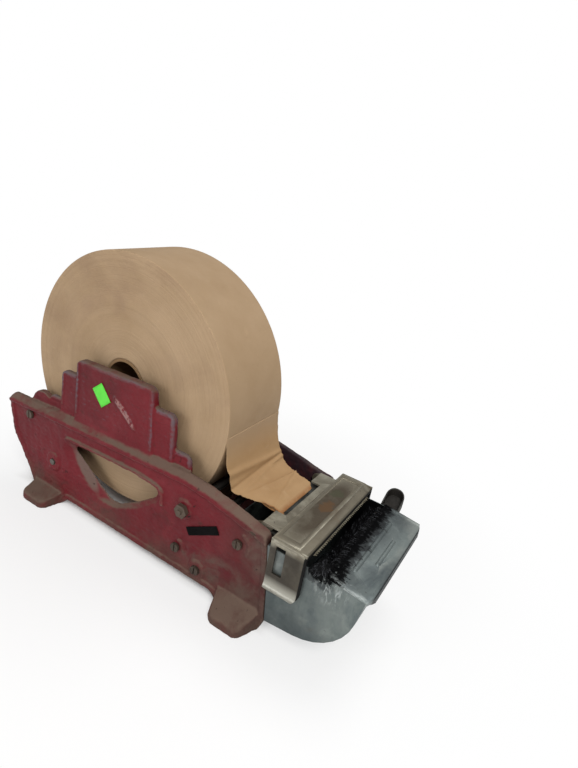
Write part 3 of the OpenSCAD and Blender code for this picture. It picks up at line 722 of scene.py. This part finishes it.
def cover_hem():
    """Raised hem round the cover's top, and a rolled edge where each flap turns down."""
    back, front, half, top = 178.5, 200.8, 58.6, 95.2
    profile = ((0, -0.3), (0.35, 0.4), (0.8, 0.55), (3.0, 0.5), (3.7, 0.1), (3.8, -0.3))
    points = []
    for inward, height in profile:
        x0, x1, y1 = back + inward, front - inward, half - inward * 1.9
        for x, y in ((x0, -y1), (x1, -y1), (x1, y1), (x0, y1)):
            points.append(metres(x, y, top + height))
    faces = grid_faces(len(profile), 4, ring_columns=True)

    edge_back, edge_front, edge_y, edge_z = 178.3, 206.5, 59.7, 93.9
    drop_from, drop_rate = 200.4, 0.226
    count, spans = 10, 8
    for side in (-1, 1):
        start = len(points)
        for i in range(spans + 1):
            x = edge_back + (edge_front - edge_back) * i / spans
            z = edge_z - max(0.0, x - drop_from) * drop_rate
            for k in range(count):
                a = 2 * math.pi * k / count
                points.append(metres(x, side * (edge_y + math.cos(a)), z + 1.1 * math.sin(a)))
        faces += grid_faces(spans + 1, count, start, ring_columns=True)
        for end in (start, start + spans * count):
            faces.append(tuple(range(end, end + count)))
    new_object("cover_hem", mesh_of("cover_hem", points, faces), PLATED, "cover", "plated_sheet")


# ---------------------------------------------------------------- tank

def lip_ends(points):
    """Raises the ends of the hood's bent-down lip, and ripples the sheet a little."""
    x, y, z = points.T
    lower = 1 - smooth_step(z, 76.3, 80.3)
    end = smooth_step(np.abs(y), 45, -TANK_NEAR)
    points[:, 2] += 3.9 * end * lower * (x > HOOD_LIP)
    points[:, 0] -= 2.6 * end * end * smooth_step(x, HOOD_LIP - 10, HOOD_LIP + 1)
    points[:, 2] += 0.25 * waves(points, 21, 60) * (x < HOOD_LIP)
    return points


def dressed_hood():
    """The hood, cut across near its ends so that its lip can bend there."""
    obj = bevelled("tank_hood", HOOD_ZINC, "tank", "zinc_sheet", 0.4)
    work = bmesh.new()
    work.from_mesh(obj.data)
    for y in (-0.055, -0.052, -0.047, -0.03, 0.03, 0.047, 0.052, 0.055):
        parts = work.verts[:] + work.edges[:] + work.faces[:]
        bmesh.ops.bisect_plane(work, geom=parts, plane_co=(0, y, 0), plane_no=(0, 1, 0))
    work.to_mesh(obj.data)
    work.free()
    moved(obj.data, lip_ends)


# ---------------------------------------------------------------- brush

def bristles():
    """Tufted black bristles, each strand tapered and leaning its own way."""
    rng = random.Random(9)
    low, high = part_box("brush_bristles")
    base = high.z - BRUSH_H
    points, faces = [], []

    def strand(x, y, length, lean_x, lean_y, r, root=0.0):
        start = len(points)
        for t in (0.0, 0.55, 1.0):
            thin = r * (1 - 0.45 * t)
            for a in (0.3, 2.39, 4.49):
                points.append((x + lean_x * t * t + thin * math.cos(a),
                               y + lean_y * t * t + thin * math.sin(a),
                               base + root + length * t))
        for k in (start, start + 3):
            for a, b in ((0, 1), (1, 2), (2, 0)):
                faces.append((k + a, k + b, k + 3 + b, k + 3 + a))
        faces.append((start + 6, start + 7, start + 8))

    # Tufts in staggered rows, splayed towards the near end
    tufts_x, tufts_y, tuft_strands = 6, 52, 6
    width = high.x - low.x - 2 * TUFT_MARGIN_X
    reach = high.y - low.y - 2 * TUFT_MARGIN_Y
    for i in range(tufts_x):
        for j in range(tufts_y):
            cx = low.x + TUFT_MARGIN_X + width * i / (tufts_x - 1)
            cy = low.y + TUFT_MARGIN_Y + reach * (j + 0.5 * (i % 2)) / (tufts_y - 0.5)
            for _ in range(tuft_strands):
                dx, dy = rng.uniform(-TUFT_R, TUFT_R), rng.uniform(-TUFT_R, TUFT_R)
                splay = max(0.0, -cy - 0.036) * rng.uniform(0.0, 0.35)
                length = STRAND_L - rng.random() ** 2 * 0.0025
                lean_x = dx * 0.8 + rng.uniform(-0.0003, 0.0003) - splay * 0.3
                lean_y = dy * 1.2 + rng.uniform(-0.0004, 0.0004) - splay
                strand(cx + dx, cy + dy, length, lean_x, lean_y, STRAND_R)
    # Matted strands that lie over the near cheek and the hood's back edge
    for _ in range(560):
        out = rng.random()
        x, y = rng.uniform(low.x + 0.001, high.x - 0.0005), low.y + 0.018 * (1 - out) ** 2
        lean_x = rng.uniform(-0.004, 0.008) * out
        lean_y = -0.017 * out * rng.uniform(0.3, 1.0)
        strand(x, y, 0.0022, lean_x, lean_y, 0.00026, 0.0193)
    for _ in range(420):
        x, y = high.x - rng.uniform(0.0005, 0.002), rng.uniform(low.y, high.y)
        lean_x, lean_y = rng.uniform(0.001, 0.0065), rng.uniform(-0.003, 0.002)
        strand(x, y, 0.0018, lean_x, lean_y, 0.00024, 0.0195)
    # Slice of the back that holds the tufts
    start = len(points)
    points.extend((x, y, z) for x in (low.x, high.x) for y in (low.y, high.y)
                  for z in (low.z, base + 0.0004))
    for face in ((0, 1, 3, 2), (4, 6, 7, 5), (0, 4, 5, 1), (2, 3, 7, 6), (0, 2, 6, 4),
                 (1, 5, 7, 3)):
        faces.append(tuple(start + corner for corner in face))
    new_object("bristle_tufts", mesh_of("bristle_tufts", points, faces), BRISTLE, "brush",
               "bristle", "brush_bristles", smooth=False)


# ---------------------------------------------------------------- labels

def label(name, centre, along, width, height, material):
    """A thin blank sticker with a slight curl, on a near face of the frame."""
    normal = Vector((0, -1, 0))
    along = along.normalized()
    up = normal.cross(along)
    columns, rows = 12, 8
    points = []
    for i in range(columns):
        for j in range(rows):
            u, v = i / (columns - 1) - 0.5, j / (rows - 1) - 0.5
            lifted = 0.0005 * max(0, abs(u) * 2 - 0.8) ** 2
            curl = 0.00012 + lifted + 0.00008 * math.sin(9 * u + 5 * v)
            points.append(centre + along * width * u + up * height * v + normal * curl)
    mesh = mesh_of(name, points, grid_faces(columns, rows))
    obj = new_object(name, mesh, material, "frame", "frame_paint")
    baked(obj, ("SOLIDIFY", LABEL_SHEET))


# ---------------------------------------------------------------- camera, light and floor

def add_camera(place, azimuth, elevation, roll):
    """A camera that looks back from an azimuth and elevation, rolled about its own axis."""
    az, el, roll = (math.radians(angle) for angle in (azimuth, elevation, roll))
    back = Vector((math.sin(az) * math.cos(el), -math.cos(az) * math.cos(el), math.sin(el)))
    right = (-back).cross(Vector((0, 0, 1))).normalized()
    up = right.cross(-back)
    tilted_right = right * math.cos(roll) + up * math.sin(roll)
    tilted_up = up * math.cos(roll) - right * math.sin(roll)
    data = bpy.data.cameras.new("camera")
    data.lens = LENS
    data.sensor_width = SENSOR
    data.dof.use_dof = False
    data.clip_start = 0.01
    camera = bpy.data.objects.new("camera", data)
    bpy.context.scene.collection.objects.link(camera)
    rows = [[tilted_right[i], tilted_up[i], back[i], place[i]] for i in range(3)]
    camera.matrix_world = Matrix(rows + [[0, 0, 0, 1]])
    bpy.context.scene.camera = camera


def soft_light(name, at, target, size, power, colour=(1, 1, 1)):
    data = bpy.data.lights.new(name, "AREA")
    data.shape = "DISK"
    data.size = size
    data.energy = power
    data.color = colour
    lamp = bpy.data.objects.new(name, data)
    bpy.context.scene.collection.objects.link(lamp)
    lamp.location = at
    lamp.rotation_euler = (Vector(target) - Vector(at)).to_track_quat("-Z", "Y").to_euler()


def add_world():
    """Soft light from all round, and pure white where the camera sees past the object."""
    world = bpy.data.worlds.new("world")
    bpy.context.scene.world = world
    g = Graph(world)
    fill = g.add("ShaderNodeBackground", {0: (0.95, 0.97, 1.0, 1), 1: 0.3})
    seen = g.add("ShaderNodeBackground", {0: (1, 1, 1, 1), 1: 1.0})
    path = g.add("ShaderNodeLightPath").outputs
    either = g.math("MAXIMUM", path["Is Camera Ray"], path["Is Transmission Ray"])
    g.end("ShaderNodeOutputWorld", either, fill, seen)


def floor_material():
    """Matt white that glows for the camera, save under and close round the machine."""
    material = bpy.data.materials.new("floor")
    g = Graph(material)
    grain = g.add("ShaderNodeTexNoise", {"Scale": 40}).outputs["Fac"]
    bump = g.add("ShaderNodeBump", {"Distance": 0.0002, "Height": grain}).outputs[0]
    bsdf = g.add("ShaderNodeBsdfPrincipled",
                 {"Base Color": (0.93, 0.93, 0.93, 1), "Roughness": 0.9,
                  "Specular IOR Level": 0.1, "Normal": bump})
    glow = g.add("ShaderNodeEmission", {1: 1.0})
    place = g.add("ShaderNodeTexCoord").outputs["Object"]
    fade = g.remap(g.length(place), 0.16, 0.40, 0.62, 1.0, interpolation_type="SMOOTHSTEP")
    # Under the machine the floor is lit by the lamps alone
    axes = g.parts(place)
    beyond = []
    for index, middle, inner, outer in ((0, -0.035, 0.13, 0.16), (1, 0.0, 0.046, 0.058)):
        away = g.math("ABSOLUTE", g.math("SUBTRACT", axes[index], middle, clamp=False))
        beyond.append(g.remap(away, inner, outer))
    glowing = g.overlap(fade, g.math("MAXIMUM", *beyond))
    seen = g.add("ShaderNodeLightPath").outputs["Is Camera Ray"]
    g.end("ShaderNodeOutputMaterial", g.overlap(seen, glowing), bsdf, glow)
    return material


def add_floor():
    """A wide white disc that keeps the object's shadow and melts into the backdrop."""
    steps, middle = 64, 0.06
    points = [(middle, 0, FLOOR_Z)]
    for r in FLOOR_RINGS:
        for k in range(steps):
            a = 2 * math.pi * k / steps
            points.append((middle + r * math.cos(a), r * math.sin(a), FLOOR_Z))
    faces = [(0, 1 + k, 1 + (k + 1) % steps) for k in range(steps)]
    faces += grid_faces(len(FLOOR_RINGS), steps, 1, ring_columns=True)
    mesh = mesh_of("floor", points, faces)
    mesh.materials.append(floor_material())
    floor = bpy.data.objects.new("floor", mesh)
    bpy.context.scene.collection.objects.link(floor)


# ---------------------------------------------------------------- the dispenser

add_camera(metres(311.86, -337.32, 340.12), 27.27, 22.08, 10.45)
add_world()
add_floor()
soft_light("key", (0.9, -0.9, 1.5), (0, 0, 0.08), 0.7, 20, (1, 0.98, 0.95))
soft_light("fill", (-0.7, -1.5, 0.6), (0, 0, 0.1), 1.0, 8.5, (0.97, 0.98, 1))
soft_light("top", (0.2, 0.6, 1.6), (0.05, 0, 0.1), 1.0, 9)
bpy.context.scene.view_settings.view_transform = "Standard"

FRAME_PAINT = frame_paint()
ROLL_PAPER = roll_paper()
TAPE_PAPER = tape_paper()
CORE_BOARD = kraft("core_board", "8f7252", "7d6244", 500).done()
ZINC = zinc("zinc_sheet", "6e7875", "576163").done()
TANK_ZINC = tank_zinc()
HOOD_ZINC = hood_zinc()
GRIMY_ZINC = grimy_zinc()
PLATED = plated("plated_sheet").done()
COVER_PLATING = cover_plating()
TIE_STEEL = bare_metal("tie_steel", "6c6862", "56524c", "4a3a2e")
SCREW_STEEL = bare_metal("screw_steel", "63564a", "41372e", "45291f", 0.5, (0.5, 0.75))
BLADE_STEEL = bare_metal("blade_steel", "958f7c", "787262", "5c5040", 0.8, (0.3, 0.5), (1, 5, 1))
ROLLER_WOOD = turned_wood("roller_wood", "6b4b2e", "7d5b3a")
BRUSH_WOOD = turned_wood("brush_wood", "4f3824", "604630")
BRISTLE = bristle_black()
GREEN_LABEL = sticker("green_label", "5fe03c", "52d134", "3aa52a")
BLACK_TAG = sticker("black_tag", "070606", "0c0b0b", gloss=0.08)

cast_frame("near_side_frame", "near_casting")
cast_frame("far_side_frame", "far_casting")
tape_roll()
tape_tail()
folded_corner()
bevelled("tape_core", CORE_BOARD, "roll", "core_board", 0.4)
bevelled("cover_plate", COVER_PLATING, "cover", "plated_sheet", 0.5)
cover_hem()
bevelled("tape_guide", PLATED, "cover", "plated_sheet", 0.35)
bevelled("tear_blade", BLADE_STEEL, "cover", "blade_steel", 0.12, 1)
bevelled("check_spring", BLADE_STEEL, "cover", "blade_steel", 0.1, 1)
bevelled("cover_rivets", SCREW_STEEL, "cover", "screw_steel", 0.3)
bevelled("water_tank", TANK_ZINC, "tank", "zinc_sheet", 0.4)
dressed_hood()
bevelled("filler_scoop", GRIMY_ZINC, "tank", "zinc_sheet", 0.4)
bevelled("brush_holder", ZINC, "brush", "zinc_sheet", 0.3)
bevelled("brush_back", BRUSH_WOOD, "brush", "brush_wood", 0.6)
bristles()
bevelled("feed_bed", GRIMY_ZINC, "frame", "zinc_sheet", 0.3)
for screws in ("tie_screws", "bed_screws", "runner_screws", "hinge_pins"):
    bevelled(screws, SCREW_STEEL, "frame", "screw_steel", 0.35)
for rod in ("rear_tie_rod", "front_tie_rod", "lower_tie_rod", "base_tie_rod",
            "rear_axle", "front_axle", "near_runner", "far_runner"):
    bevelled(rod, TIE_STEEL, "frame", "tie_steel", 0.3)
bevelled("rear_roller", ROLLER_WOOD, "rear_roller", "roller_wood", 0.8)
bevelled("front_roller", ROLLER_WOOD, "front_roller", "roller_wood", 0.8)
label("price_label", metres(-10.7, -FIN_FACE, 135.8), Vector((0.768, 0, 0.64)),
      0.0142, 0.0183, GREEN_LABEL)
label("lot_tag", metres(113, -WEB_FACE, 61.7), Vector((0.872, 0, 0.49)),
      0.034, 0.0078, BLACK_TAG)
